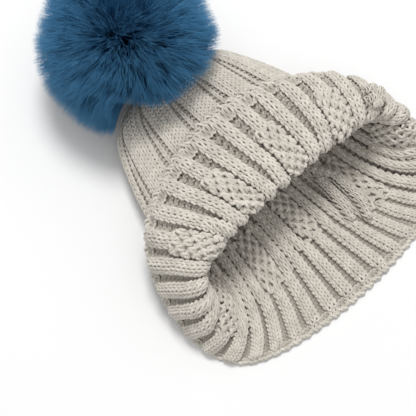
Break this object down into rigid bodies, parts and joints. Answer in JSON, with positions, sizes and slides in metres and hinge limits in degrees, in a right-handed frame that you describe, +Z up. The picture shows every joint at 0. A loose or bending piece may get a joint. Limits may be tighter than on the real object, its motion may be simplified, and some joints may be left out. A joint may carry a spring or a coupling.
{
  "type": "pom pom beanie",
  "caption": "Chunky cable-rib knitted beanie lying on its back, brim turned up in front, with a large fur pom pom tied to its crown.",
  "frame": {"origin": "on the surface the hat lies on, under the middle of the hat, in the plane of its flattened back", "axes": "+Y from the opening to the crown and pom, +X towards the hat's right side as seen from the opening, +Z up through the turned-up front"},
  "size_m": [0.2484, 0.3295, 0.128],
  "materials": {
    "knit": "chunky ribbed knit, soft matt yarn",
    "edge_knit": "cast-on edge, matt yarn",
    "sewing_yarn": "twisted yarn",
    "cord": "thin waxed cord",
    "button": "satin",
    "base_disc": "matt",
    "backing": "knitted fur backing",
    "stuffing": "loose polyester fibre",
    "fur": "long silky pile with dark roots"
  },
  "bodies": {
    "hat": {"crown": "knit", "head_tube": "knit", "front_cuff": "knit", "left_flare": "knit", "right_flare": "knit", "back_brim": "knit", "edge_band_front": "edge_knit", "edge_band_left": "edge_knit", "edge_band_right": "edge_knit", "edge_band_back": "edge_knit", "crown_gather_yarn": "sewing_yarn", "anchor_button": "button", "anchor_cord": "cord", "cord_tail": "cord"},
    "middle_link": {"middle_loop": "cord"},
    "pom_tie": {"pom_loop": "cord"},
    "pom": {"pom_base_disc": "base_disc", "pom_backing": "backing", "pom_stuffing": "stuffing", "pom_closing_thread": "backing", "pom_fur": "fur"}
  },
  "joints": [
    {"name": "pom_nod", "type": "hinge", "parent": "hat", "child": "middle_link", "pos_m": [-0.00545, 0.13753, 0.03406], "axis": [0.9848, 0.1736, 0], "range_deg": [-20, 5]},
    {"name": "pom_sway", "type": "hinge", "parent": "middle_link", "child": "pom_tie", "pos_m": [-0.00612, 0.14133, 0.03866], "axis": [-0.133, 0.7544, -0.6428], "range_deg": [-8, 8]},
    {"name": "pom_twist", "type": "hinge", "parent": "pom_tie", "child": "pom", "pos_m": [-0.0088, 0.15652, 0.05705], "axis": [-0.1116, 0.633, 0.766], "range_deg": [-180, 180]}
  ]
}
